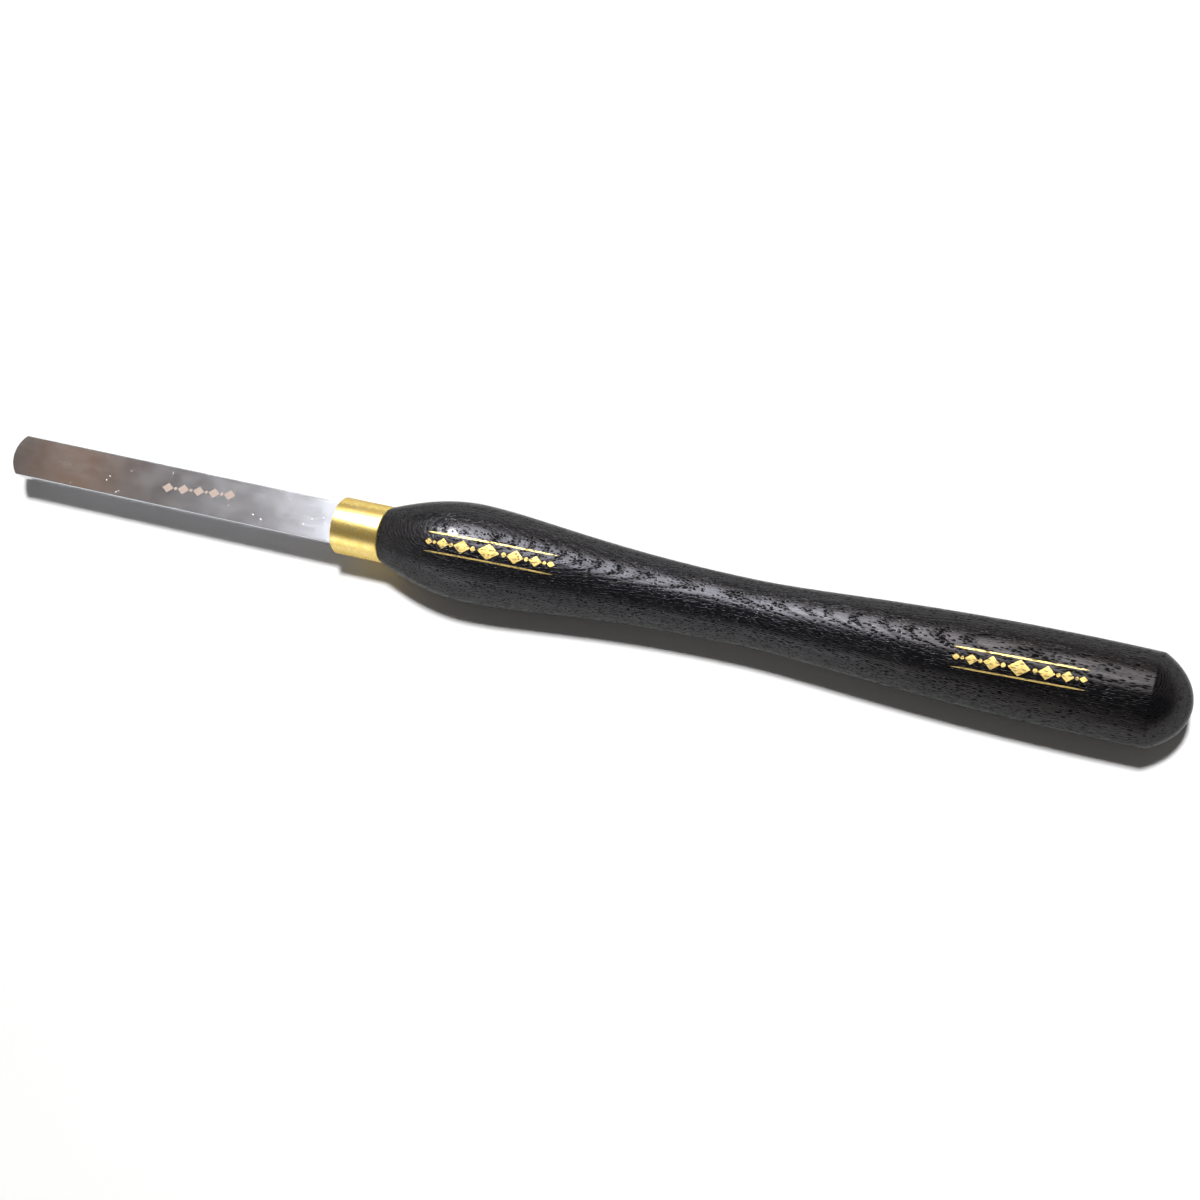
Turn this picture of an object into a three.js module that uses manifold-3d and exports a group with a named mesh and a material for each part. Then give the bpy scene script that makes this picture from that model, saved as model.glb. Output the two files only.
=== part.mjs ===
// Round nose scraper for woodturning: a flat steel blade with a round, bevelled nose,
// a brass ferrule, and a turned ash handle stained black.
// Millimetres. The tool lies along X with its nose towards -X, and +Z is up,
// square to the blade's upper face. The origin is the middle of the tool's length, on its axis.
import * as THREE from 'three';
import { mergeVertices } from 'three/addons/utils/BufferGeometryUtils.js';
import Module from 'manifold-3d';

const wasm = await Module();
wasm.setup();

// Blade: a flat bar, ground round at the nose
const bladeWidth = 19.05;
const bladeThickness = 6.35;
const bladeReach = 170;
const bladeEdgeBreak = 0.4;
const noseBow = 4.1;
const noseReliefAngle = THREE.MathUtils.degToRad(15);

// Tang: the narrower end of the same bar, driven into the handle
const tangWidth = 9.5;
const tangThickness = 5;
const tangLength = 64;
const tangPointLength = 11;
const tangPointWidth = 4;

// Ferrule: a thick brass tube round the handle's tenon
const ferruleDiameter = 25.4;
const ferruleLength = 23;
const ferruleWall = 1.8;
const ferruleRimRadius = 0.6;

// Handle: diameters, and where they lie behind the ferrule
const handleLength = 352.9;
const bulgeDiameter = 43.8;
const bulgeDistance = 41.4;
const waistDiameter = 28.9;
const waistDistance = 167.4;
const tailDiameter = 40;
const tailDistance = 316.4;
const arrisDiameter = 39.5;
const domeLength = 14.5;
const mortiseSpareLength = 2;

// Clearance between pieces that seat on each other, and how far cutting shapes run past
const seatGap = 0.3;
const overrun = 1;

// The wood swells at once behind the ferrule, at this angle to the axis
const frontRiseAngle = THREE.MathUtils.degToRad(19.5);

// How far each end of a handle curve keeps its direction, as a share of that curve's length
const frontRiseShare = 0.19;
const bulgeFrontShare = 0.44;
const bulgeBackShare = 0.2;
const waistFrontShare = 0.52;
const waistBackShare = 0.21;
const tailFrontShare = 0.53;
const tailBackShare = 0.3;
const domeRimShares = { along: 0.55, drop: 0.2 };
const domePoleShare = 0.45;

// Fineness of the round surfaces
const roundSegments = 48;
const noseSegments = 144;
const curveSteps = 11;
const rimSteps = 4;

// Places along the tool, from the nose's tip
const toolLength = bladeReach + seatGap + ferruleLength + seatGap + handleLength;
const noseTipX = -toolLength / 2;
const shoulderX = noseTipX + bladeReach;
const ferruleX = shoulderX + seatGap;
const handleX = ferruleX + ferruleLength + seatGap;

const ferruleRadius = ferruleDiameter / 2;
const tenonRadius = ferruleRadius - ferruleWall - seatGap;
const tenonLength = handleX - ferruleX;

const steel = new THREE.MeshStandardMaterial({ color: 0xa4a5a8, roughness: 0.35, metalness: 1 });
const brass = new THREE.MeshStandardMaterial({ color: 0xd2ac4e, roughness: 0.3, metalness: 1 });
const blackAsh = new THREE.MeshStandardMaterial({ color: 0x1d1b1c, roughness: 0.45, metalness: 0 });

function solidOf(geometry) {
  const bare = geometry.clone();
  bare.deleteAttribute('normal');
  bare.deleteAttribute('uv');
  const merged = mergeVertices(bare);
  const vertProperties = Float32Array.from(merged.attributes.position.array);
  const triVerts = Uint32Array.from(merged.index.array);
  return new wasm.Manifold(new wasm.Mesh({ numProp: 3, vertProperties, triVerts }));
}

function geometryOf(solid) {
  const { vertProperties, triVerts } = solid.getMesh();
  const geometry = new THREE.BufferGeometry();
  geometry.setAttribute('position', new THREE.BufferAttribute(Float32Array.from(vertProperties), 3));
  geometry.setIndex(new THREE.BufferAttribute(Uint32Array.from(triVerts), 1));
  geometry.computeVertexNormals();
  return geometry;
}

// Turns a profile of (radius, distance) points round the X axis.
function turned(points) {
  return new THREE.LatheGeometry(points, roundSegments).rotateZ(-Math.PI / 2);
}

// The bar's section, with its four long edges broken, pulled along X from one place to another.
function barBetween(startX, endX) {
  const halfWidth = bladeWidth / 2;
  const halfThickness = bladeThickness / 2;
  const section = new THREE.Shape([
    new THREE.Vector2(-halfWidth, -halfThickness + bladeEdgeBreak),
    new THREE.Vector2(-halfWidth + bladeEdgeBreak, -halfThickness),
    new THREE.Vector2(halfWidth - bladeEdgeBreak, -halfThickness),
    new THREE.Vector2(halfWidth, -halfThickness + bladeEdgeBreak),
    new THREE.Vector2(halfWidth, halfThickness - bladeEdgeBreak),
    new THREE.Vector2(halfWidth - bladeEdgeBreak, halfThickness),
    new THREE.Vector2(-halfWidth + bladeEdgeBreak, halfThickness),
    new THREE.Vector2(-halfWidth, halfThickness - bladeEdgeBreak),
  ]);
  const bar = new THREE.ExtrudeGeometry(section, { depth: endX - startX, bevelEnabled: false });
  const alongX = new THREE.Matrix4().makeBasis(
    new THREE.Vector3(0, 1, 0),
    new THREE.Vector3(0, 0, 1),
    new THREE.Vector3(1, 0, 0),
  );
  return bar.applyMatrix4(alongX).translate(startX, 0, 0);
}

// The space that the round nose leaves to the blade: a cone under the cutting edge, whose slope
// is the bevel, and everything behind the cone's axis. Distances run from the blade's shoulders.
function noseEnvelope() {
  const noseRadius = (bladeWidth ** 2 / 4 + noseBow ** 2) / (2 * noseBow);
  const centreX = noseRadius - bladeReach;
  const slope = Math.tan(noseReliefAngle);
  const top = bladeThickness / 2;
  const high = top + overrun;
  const low = -top - overrun;
  const cone = new THREE.LatheGeometry([
    new THREE.Vector2(0, low),
    new THREE.Vector2(noseRadius + (low - top) * slope, low),
    new THREE.Vector2(noseRadius + (high - top) * slope, high),
    new THREE.Vector2(0, high),
  ], noseSegments).rotateX(Math.PI / 2).translate(centreX, 0, 0);
  const backLength = overrun - centreX;
  const back = new THREE.BoxGeometry(backLength, bladeWidth + 2 * overrun, high - low);
  back.translate(centreX + backLength / 2, 0, 0);
  return solidOf(cone).add(solidOf(back));
}

// A flat bar that narrows to a blunt point, for the tang and, with room round it, for the mortise
// that the tang cuts for itself as it is driven in. Distances run from the blade's shoulders.
function taperedBar(room, spareLength) {
  const halfWidth = tangWidth / 2 + room;
  const halfPointWidth = tangPointWidth / 2 + room;
  const taperStart = tangLength - tangPointLength + spareLength;
  const end = tangLength + spareLength;
  const outline = new THREE.Shape([
    new THREE.Vector2(-overrun, -halfWidth),
    new THREE.Vector2(taperStart, -halfWidth),
    new THREE.Vector2(end, -halfPointWidth),
    new THREE.Vector2(end, halfPointWidth),
    new THREE.Vector2(taperStart, halfWidth),
    new THREE.Vector2(-overrun, halfWidth),
  ]);
  const depth = tangThickness + 2 * room;
  const plate = new THREE.ExtrudeGeometry(outline, { depth, bevelEnabled: false });
  return solidOf(plate.translate(0, 0, -depth / 2));
}

// Steel blade and tang in one piece, from its shoulders at x = 0.
function bladeGeometry() {
  const bar = solidOf(barBetween(-bladeReach, 0));
  return geometryOf(bar.intersect(noseEnvelope()).add(taperedBar(0, 0)));
}

// A quarter round on the ferrule's outer rim, from the end face to the outside or back.
function rimRound(centreDistance, startAngle, endAngle) {
  const centreRadius = ferruleRadius - ferruleRimRadius;
  const points = [];
  for (let step = 0; step <= rimSteps; step += 1) {
    const angle = startAngle + (endAngle - startAngle) * step / rimSteps;
    points.push(new THREE.Vector2(
      centreRadius + ferruleRimRadius * Math.cos(angle),
      centreDistance + ferruleRimRadius * Math.sin(angle),
    ));
  }
  return points;
}

// Brass tube with softened outer rims, from its front face at x = 0.
function ferruleGeometry() {
  const innerRadius = ferruleRadius - ferruleWall;
  return turned([
    new THREE.Vector2(innerRadius, 0),
    ...rimRound(ferruleRimRadius, -Math.PI / 2, 0),
    ...rimRound(ferruleLength - ferruleRimRadius, 0, Math.PI / 2),
    new THREE.Vector2(innerRadius, ferruleLength),
    new THREE.Vector2(innerRadius, 0),
  ]);
}

// One smooth stretch of the handle, with the surface parallel to the axis at its end and, unless
// an angle is given, at its start.
function sweepTo(path, endRadius, endDistance, startShare, endShare, startAngle = 0) {
  const start = path.currentPoint;
  const length = endDistance - start.y;
  const startReach = startShare * length;
  path.bezierCurveTo(
    start.x + startReach * Math.tan(startAngle), start.y + startReach,
    endRadius, endDistance - endShare * length,
    endRadius, endDistance,
  );
}

// The turned outside: it starts flush with the ferrule, swells to the bulge, draws in to the
// waist, swells again to the tail, and ends in a crisp edge and a low dome.
function handleOutside() {
  const bodyLength = handleLength - domeLength;
  const arrisRadius = arrisDiameter / 2;
  const path = new THREE.Path();
  path.moveTo(ferruleRadius, 0);
  sweepTo(path, bulgeDiameter / 2, bulgeDistance, frontRiseShare, bulgeFrontShare, frontRiseAngle);
  sweepTo(path, waistDiameter / 2, waistDistance, bulgeBackShare, waistFrontShare);
  sweepTo(path, tailDiameter / 2, tailDistance, waistBackShare, tailFrontShare);
  path.quadraticCurveTo(
    tailDiameter / 2, tailDistance + tailBackShare * (bodyLength - tailDistance),
    arrisRadius, bodyLength,
  );
  path.bezierCurveTo(
    arrisRadius * (1 - domeRimShares.drop), bodyLength + domeLength * domeRimShares.along,
    arrisRadius * domePoleShare, handleLength,
    0, handleLength,
  );
  return path.getPoints(curveSteps);
}

// Ash handle with the ferrule's tenon and the tang's mortise, from the tenon's shoulder at x = 0.
function handleGeometry() {
  const wood = turned([
    new THREE.Vector2(0, -tenonLength),
    new THREE.Vector2(tenonRadius, -tenonLength),
    new THREE.Vector2(tenonRadius, 0),
    ...handleOutside(),
  ]);
  const mortise = taperedBar(seatGap, mortiseSpareLength).translate([shoulderX - handleX, 0, 0]);
  return geometryOf(solidOf(wood).subtract(mortise));
}

function piece(name, geometry, material, x) {
  const mesh = new THREE.Mesh(geometry, material);
  mesh.name = name;
  mesh.position.x = x;
  return mesh;
}

const group = new THREE.Group();
group.add(
  piece('blade', bladeGeometry(), steel, shoulderX),
  piece('ferrule', ferruleGeometry(), brass, ferruleX),
  piece('handle', handleGeometry(), blackAsh, handleX),
);

export default group;
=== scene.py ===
import bisect
import math

import bmesh
import bpy
from mathutils import Matrix, Vector


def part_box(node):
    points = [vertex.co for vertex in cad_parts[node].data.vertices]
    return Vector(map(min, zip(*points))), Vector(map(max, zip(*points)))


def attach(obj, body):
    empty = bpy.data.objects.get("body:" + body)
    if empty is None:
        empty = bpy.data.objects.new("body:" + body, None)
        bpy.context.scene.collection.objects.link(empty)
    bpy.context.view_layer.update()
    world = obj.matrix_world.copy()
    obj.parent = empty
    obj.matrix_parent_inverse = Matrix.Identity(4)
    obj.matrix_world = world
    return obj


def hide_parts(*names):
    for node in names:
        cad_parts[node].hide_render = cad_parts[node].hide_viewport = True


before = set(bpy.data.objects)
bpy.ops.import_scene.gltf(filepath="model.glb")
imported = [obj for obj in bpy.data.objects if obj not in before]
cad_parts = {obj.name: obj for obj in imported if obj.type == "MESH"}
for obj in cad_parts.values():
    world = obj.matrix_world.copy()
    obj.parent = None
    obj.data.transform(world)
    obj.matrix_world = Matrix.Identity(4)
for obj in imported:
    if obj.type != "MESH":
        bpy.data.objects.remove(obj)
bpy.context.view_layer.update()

# The tool lies along X with its nose towards -X, and +Z is up. Lengths below are in millimetres.
MM = 0.001
ROUND_STEPS = 192

# Faces that meet at a larger angle than these have a crisp edge between them
EDGE_ANGLE = math.radians(28)
HANDLE_EDGE_ANGLE = math.radians(18)
BLADE_EDGE_ANGLE = math.radians(10)

# Places along the tool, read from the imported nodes
blade_low, blade_high = (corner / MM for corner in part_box("blade"))
ferrule_low, ferrule_high = (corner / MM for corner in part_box("ferrule"))
handle_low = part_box("handle")[0] / MM

NOSE_TIP = blade_low.x
TANG_END = blade_high.x
FERRULE_FRONT = ferrule_low.x
FERRULE_BACK = ferrule_high.x
TENON_FRONT = handle_low.x

# Blade and tang
BLADE_WIDTH = 19.05
BLADE_THICKNESS = 6.35
BLADE_REACH = 170.0
EDGE_ROUND = 0.4
EDGE_STEPS = 3
NOSE_BOW = 4.1
NOSE_RELIEF = math.radians(15)
NOSE_STEPS = 24
TANG_WIDTH = 9.5
TANG_THICKNESS = 5.0
TANG_POINT_LENGTH = 11.0
TANG_POINT_WIDTH = 4.0
SEAT_GAP = 0.3
MORTISE_SPARE = 2.0

# Ferrule
FERRULE_RADIUS = 12.7
FERRULE_WALL = 1.8
FERRULE_RIM = 0.6
FERRULE_INNER_RIM = 0.25
RIM_STEPS = 7

# Handle: radii, and how far behind its shoulder they lie
HANDLE_START = FERRULE_BACK + SEAT_GAP
HANDLE_LENGTH = 352.9
DOME_LENGTH = 14.5
BULGE = (21.9, 41.4)
WAIST = (14.45, 167.4)
TAIL = (20.0, 316.4)
ARRIS = (19.75, HANDLE_LENGTH - DOME_LENGTH)
ARRIS_ROUND = 0.7
FRONT_RISE = math.radians(19.5)

# The handle's front edge is eased by this much across and along, and its dome ends in a ring this small
FRONT_EASE = (0.15, 0.12)
POLE_RADIUS = 0.05

# How far each end of a handle curve keeps its direction, as a share of that curve's length
FRONT_RISE_SHARE = 0.19
BULGE_FRONT_SHARE = 0.44
BULGE_BACK_SHARE = 0.2
WAIST_FRONT_SHARE = 0.52
WAIST_BACK_SHARE = 0.21
TAIL_FRONT_SHARE = 0.53
TAIL_BACK_SHARE = 0.3
DOME_RIM_ALONG_SHARE = 0.55
DOME_RIM_DROP_SHARE = 0.2
DOME_POLE_SHARE = 0.45

# Steps along the handle's curves
FRONT_STEPS = 36
BODY_STEPS = 44
TAIL_STEPS = 14
ARRIS_STEPS = 6
DOME_STEPS = 40

# The wood stays this far inside its solid, which leaves room for the foil on it
FOIL_ROOM = 0.06


def place_of(point):
    return Vector(point) * MM


def new_piece(name, vertices, faces, material, edge_angle=EDGE_ANGLE):
    mesh = bpy.data.meshes.new(name)
    mesh.from_pydata([place_of(v) for v in vertices], [], faces)
    mesh.validate()
    mesh.shade_smooth()
    mesh.set_sharp_from_angle(angle=edge_angle)
    mesh.materials.append(material)
    piece = bpy.data.objects.new(name, mesh)
    bpy.context.scene.collection.objects.link(piece)
    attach(piece, "root")
    return piece


def fix_normals(piece):
    """Makes every face of a closed piece point outward."""
    work = bmesh.new()
    work.from_mesh(piece.data)
    bmesh.ops.recalc_face_normals(work, faces=work.faces)
    work.to_mesh(piece.data)
    work.free()


# Shader nodes

WHITE = (1.0, 1.0, 1.0)

# The colour sockets of a mix node, which has others of the same name
MIX_FIRST_COLOUR = 6
MIX_SECOND_COLOUR = 7
MIX_RESULT_COLOUR = 2

# Most of a noise lies between these values
NOISE_SPREAD = (0.35, 0.7)


class Nodes:
    """The shader nodes of one tree."""

    def __init__(self, tree):
        self.tree = tree

    def node(self, kind, **settings):
        made = self.tree.nodes.new(kind)
        for key, value in settings.items():
            setattr(made, key, value)
        return made

    def feed(self, socket, value):
        """Links another node's result to a socket, or sets the socket to a plain value."""
        if isinstance(value, bpy.types.NodeSocket):
            self.tree.links.new(value, socket)
        elif value is not None:
            socket.default_value = value

    def math(self, operation, first, second=None, third=None):
        made = self.node("ShaderNodeMath", operation=operation)
        for socket, value in zip(made.inputs, (first, second, third)):
            self.feed(socket, value)
        return made.outputs[0]

    def place(self):
        """The X, Y and Z of the shaded point in millimetres."""
        coordinates = self.node("ShaderNodeTexCoord")
        scaled = self.node("ShaderNodeVectorMath", operation="SCALE")
        self.feed(scaled.inputs[0], coordinates.outputs["Object"])
        scaled.inputs["Scale"].default_value = 1 / MM
        return self.split(scaled.outputs[0])

    def split(self, vector):
        parts = self.node("ShaderNodeSeparateXYZ")
        self.feed(parts.inputs[0], vector)
        return parts.outputs[0], parts.outputs[1], parts.outputs[2]

    def join(self, parts):
        joined = self.node("ShaderNodeCombineXYZ")
        for socket, value in zip(joined.inputs, parts):
            self.feed(socket, value)
        return joined.outputs[0]

    def stretched(self, parts, sizes):
        """A point with each of its parts divided by a size in millimetres."""
        return self.join([self.math("DIVIDE", part, size) for part, size in zip(parts, sizes)])

    def noise(self, parts, sizes, detail=3.0, roughness=0.5):
        """Soft patches of about these sizes in millimetres."""
        made = self.node("ShaderNodeTexNoise")
        self.feed(made.inputs["Vector"], self.stretched(parts, sizes))
        made.inputs["Scale"].default_value = 1.0
        made.inputs["Detail"].default_value = detail
        made.inputs["Roughness"].default_value = roughness
        return made.outputs["Fac"]

    def cells(self, vector):
        """Distance to the nearest of scattered points, and two random values for that point."""
        made = self.node("ShaderNodeTexVoronoi", feature="F1")
        self.feed(made.inputs["Vector"], vector)
        made.inputs["Scale"].default_value = 1.0
        chance, size, _ = self.split(made.outputs["Color"])
        return made.outputs["Distance"], chance, size

    def ease(self, value, start, end, low=0.0, high=1.0):
        """low up to start, high from end on, and smooth between them."""
        made = self.node("ShaderNodeMapRange", interpolation_type="SMOOTHSTEP")
        for socket, number in zip(made.inputs, (value, start, end, low, high)):
            self.feed(socket, number)
        return made.outputs[0]

    def blend(self, share, first, second):
        """The first colour where share is 0, and the second where it is 1."""
        made = self.node("ShaderNodeMix", data_type="RGBA")
        self.feed(made.inputs["Factor"], share)
        self.feed(made.inputs[MIX_FIRST_COLOUR], colour_of(first))
        self.feed(made.inputs[MIX_SECOND_COLOUR], colour_of(second))
        return made.outputs[MIX_RESULT_COLOUR]

    def edge_on(self):
        """0 where the surface is seen square on, 1 where it is seen edge on."""
        made = self.node("ShaderNodeLayerWeight")
        made.inputs["Blend"].default_value = 0.5
        return made.outputs["Facing"]

    def bump(self, height, depth, below=None):
        """depth is the height in millimetres that a height of 1 stands for."""
        made = self.node("ShaderNodeBump")
        made.inputs["Strength"].default_value = 1.0
        made.inputs["Distance"].default_value = depth * MM
        self.feed(made.inputs["Height"], height)
        self.feed(made.inputs["Normal"], below)
        return made.outputs[0]


class Material(Nodes):
    """A material with its nodes."""

    def __init__(self, name):
        self.material = bpy.data.materials.new(name)
        self.material.use_nodes = True
        super().__init__(self.material.node_tree)
        self.surface = self.tree.nodes["Principled BSDF"]

    def set(self, **values):
        """Feeds the surface's sockets. A socket's name has _ here for each space."""
        for key, value in values.items():
            self.feed(self.surface.inputs[key.replace("_", " ")], value)


def colour_of(value):
    if isinstance(value, bpy.types.NodeSocket):
        return value
    return (*value, 1.0)


# Growth rings of the ash. The middle of the log lies PITH_DEPTH below the tool's axis, RING_LEAN off
# the vertical towards -Y. The rings sink by RING_SLOPE for each millimetre towards the tail.
RING_LEAN = math.radians(14)
RING_SLOPE = 0.006
PITH_DEPTH = 90.0
RING_WIDTH = 0.66
SLOW_WAVE = 1.4
SLOW_WAVE_SIZE = (55.0, 22.0, 22.0)
QUICK_WAVE = 0.14
QUICK_WAVE_SIZE = (9.0, 5.0, 5.0)

# Where the open-pored part of a ring starts and ends, as shares of the ring
EARLY_START_SHARES = (0.0, 0.16)
EARLY_END_SHARES = (0.42, 0.66)

# Pores. There are PORE_COUNT of them for each millimetre along the grain at the origin, and fewer for
# each millimetre towards the tail by twice PORE_COUNT_FALL.
PORE_WIDTH = 0.62
PORE_COUNT = 0.67
PORE_COUNT_FALL = 0.00068

# Sizes of the pores and of their soft rims, as shares of the room that each pore has
LEAST_PORE_SHARE = 0.26
PORE_SPREAD_SHARE = 0.30
SCATTERED_PORE_SHARE = 0.42
SCATTERED_PORE_CHANCE = (0.50, 0.80)
PORE_RIM_SHARES = (-0.05, 0.07)
DIMPLE_RIM_SHARES = (-0.26, 0.06)


def ring_places(nodes):
    """Distances along the grain, round the rings and out from the pith, gently wavy as in a real log."""
    x, y, z = nodes.place()
    across = nodes.math("SUBTRACT", nodes.math("MULTIPLY", y, math.cos(RING_LEAN)),
                        nodes.math("MULTIPLY", z, math.sin(RING_LEAN)))
    outward = nodes.math("ADD", nodes.math("MULTIPLY", y, math.sin(RING_LEAN)),
                         nodes.math("MULTIPLY", z, math.cos(RING_LEAN)))
    from_pith = nodes.math("ADD", outward, PITH_DEPTH)
    radius = nodes.math("SQRT", nodes.math("ADD", nodes.math("MULTIPLY", across, across),
                                           nodes.math("MULTIPLY", from_pith, from_pith)))
    leaning = nodes.math("MULTIPLY_ADD", x, RING_SLOPE, radius)
    slow = nodes.noise((x, y, z), SLOW_WAVE_SIZE, detail=2.0)
    quick = nodes.noise((x, y, z), QUICK_WAVE_SIZE, detail=2.0)
    wavy = nodes.math("MULTIPLY_ADD", slow, SLOW_WAVE, leaning)
    wavy = nodes.math("MULTIPLY_ADD", quick, QUICK_WAVE, wavy)
    return x, across, wavy


def early_wood(nodes, outward):
    """1 in the open-pored part of each growth ring, 0 in its dense part."""
    turn = nodes.math("FRACT", nodes.math("DIVIDE", outward, RING_WIDTH))
    started = nodes.ease(turn, *EARLY_START_SHARES)
    going_on = nodes.ease(turn, *EARLY_END_SHARES, 1.0, 0.0)
    return nodes.math("MULTIPLY", started, going_on)


def pore_depth(nodes, grain, early):
    """How far inside an open pore a point lies, and less than 0 outside. Pores are short dots where the
    surface cuts across the grain, and long dashes towards the tail."""
    x, across, outward = grain
    along = nodes.math("MULTIPLY", x, nodes.math("MULTIPLY_ADD", x, -PORE_COUNT_FALL, PORE_COUNT))
    around, out = (nodes.math("DIVIDE", part, PORE_WIDTH) for part in (across, outward))
    distance, chance, size = nodes.cells(nodes.join((along, around, out)))
    radius = nodes.math("MULTIPLY_ADD", size, PORE_SPREAD_SHARE, LEAST_PORE_SHARE)
    crowded = nodes.math("MULTIPLY", early, radius)
    scattered = nodes.math("MULTIPLY", nodes.ease(chance, *SCATTERED_PORE_CHANCE), SCATTERED_PORE_SHARE)
    return nodes.math("SUBTRACT", nodes.math("MAXIMUM", crowded, scattered), distance)


# Black-stained ash under lacquer
FIBRE_SIZE = (7.0, 0.35, 0.35)
PATCH_SIZE = (60.0, 14.0, 14.0)
STREAK_SIZE = (26.0, 0.7, 0.7)

DENSE_WOOD = (0.0018, 0.0023, 0.0036)
PALE_DENSE_WOOD = (0.0045, 0.0045, 0.0056)
EARLY_WOOD = (0.0014, 0.0017, 0.0024)
EARLY_WOOD_SHARE = 0.6
WARM_WOOD = (0.0080, 0.0058, 0.0052)
WARM_SPREAD = (0.45, 0.75)
WARM_SHARE = 0.4
PORE_BOTTOM = (0.0006, 0.0006, 0.0008)

# Roughness of the lacquer, and what the fibres and the open wood add to it
LACQUER_ROUGHNESS = 0.15
FIBRE_ROUGHNESS = 0.14
EARLY_ROUGHNESS = 0.06

# Shine of the lacquer, and the shares of it that are left in its duller places
LACQUER_SHINE = 0.68
EARLY_SHINE_LOSS = 0.25
STREAK_SPREAD = (0.35, 0.65)
STREAK_SHINE_SHARE = 0.66
PORE_SHINE_LOSS_SHARE = 0.92
EDGE_ON_SPREAD = (0.28, 0.66)
EDGE_ON_SHINE_SHARE = 0.15
TAIL_SHINE_FADE = (95.0, 205.0)
TAIL_SHINE_SHARE = 0.70

# Tint of the shine, from the front to the tail
TINT_CHANGE = (100.0, 215.0)
FRONT_TINT = (0.95, 0.93, 1.0)
TAIL_TINT = (1.0, 0.92, 0.90)

# Relief of the surface, as shares of its depth. It fades to less on the dome at the tail.
RELIEF_DEPTH = 0.125
FIBRE_RELIEF_SHARE = 0.14
EARLY_RELIEF_SHARE = 0.08
DIMPLE_RELIEF_SHARE = 0.45
PORE_RELIEF_SHARE = 0.3
DOME_RELIEF_FADE = (250.0, 262.0)
DOME_RELIEF_SHARE = 0.2


def ash_colour(nodes, grain, fibre, early, pore):
    dense = nodes.blend(nodes.ease(fibre, *NOISE_SPREAD), DENSE_WOOD, PALE_DENSE_WOOD)
    stained = nodes.blend(nodes.math("MULTIPLY", early, EARLY_WOOD_SHARE), dense, EARLY_WOOD)
    patch = nodes.noise(grain, PATCH_SIZE, detail=2.0)
    warmed = nodes.blend(nodes.ease(patch, *WARM_SPREAD, 0.0, WARM_SHARE), stained, WARM_WOOD)
    return nodes.blend(pore, warmed, PORE_BOTTOM)


def ash_roughness(nodes, fibre, early):
    rough = nodes.math("MULTIPLY_ADD", fibre, FIBRE_ROUGHNESS, LACQUER_ROUGHNESS)
    return nodes.math("MULTIPLY_ADD", early, EARLY_ROUGHNESS, rough)


def ash_shine(nodes, grain, early, pore):
    """The lacquer's shine, duller in open wood, streaks and pores, seen edge on, and towards the tail."""
    streak = nodes.noise(grain, STREAK_SIZE, detail=3.0, roughness=0.6)
    left_in_streaks = nodes.ease(streak, *STREAK_SPREAD, STREAK_SHINE_SHARE, 1.0)
    left_in_pores = nodes.math("MULTIPLY_ADD", pore, -PORE_SHINE_LOSS_SHARE, 1.0)
    left_edge_on = nodes.ease(nodes.edge_on(), *EDGE_ON_SPREAD, 1.0, EDGE_ON_SHINE_SHARE)
    left_to_tail = nodes.ease(grain[0], *TAIL_SHINE_FADE, 1.0, TAIL_SHINE_SHARE)
    shine = nodes.math("MULTIPLY_ADD", early, -EARLY_SHINE_LOSS, LACQUER_SHINE)
    for share in (left_in_streaks, left_in_pores, left_edge_on, left_to_tail):
        shine = nodes.math("MULTIPLY", shine, share)
    return shine


def ash_relief(nodes, grain, fibre, early, pore, dimple):
    """Height of the surface: fibres stand out of it, and open wood, dimples and pores lie lower."""
    relief = nodes.math("SUBTRACT", nodes.math("MULTIPLY", fibre, FIBRE_RELIEF_SHARE),
                        nodes.math("MULTIPLY", early, EARLY_RELIEF_SHARE))
    relief = nodes.math("SUBTRACT", relief, nodes.math("MULTIPLY", dimple, DIMPLE_RELIEF_SHARE))
    relief = nodes.math("MULTIPLY_ADD", pore, -PORE_RELIEF_SHARE, relief)
    return nodes.math("MULTIPLY", relief, nodes.ease(grain[0], *DOME_RELIEF_FADE, 1.0, DOME_RELIEF_SHARE))


def ash_material():
    nodes = Material("black_ash")
    grain = ring_places(nodes)
    early = early_wood(nodes, grain[2])
    inside = pore_depth(nodes, grain, early)
    pore = nodes.ease(inside, *PORE_RIM_SHARES)
    dimple = nodes.ease(inside, *DIMPLE_RIM_SHARES)
    fibre = nodes.noise(grain, FIBRE_SIZE, detail=4.0, roughness=0.6)
    relief = ash_relief(nodes, grain, fibre, early, pore, dimple)
    nodes.set(Base_Color=ash_colour(nodes, grain, fibre, early, pore),
              Roughness=ash_roughness(nodes, fibre, early),
              Specular_IOR_Level=ash_shine(nodes, grain, early, pore),
              Specular_Tint=nodes.blend(nodes.ease(grain[0], *TINT_CHANGE), FRONT_TINT, TAIL_TINT),
              Normal=nodes.bump(relief, RELIEF_DEPTH))
    return nodes.material


# Brass, with the marks of turning round it
BRASS = (0.91, 0.71, 0.27)
DEEP_BRASS = (0.86, 0.62, 0.17)
BRASS_EDGE_TINT = (0.45, 0.40, 0.32, 1.0)
BRASS_METALLIC = 0.85
BRASS_CLOUD_SIZE = (3.2, 3.2, 3.2)
BRASS_SPECKLE_SIZE = (0.5, 0.8, 0.8)
TURNING_MARK_SIZE = (0.09, 6.0, 6.0)
BRASS_ROUGHNESS = 0.20
BRASS_CLOUD_ROUGHNESS = 0.12
BRASS_SPECKLE_ROUGHNESS = 0.05
TURNING_MARK_DEPTH = 0.0012
BRASS_DENT_DEPTH = 0.008


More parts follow.
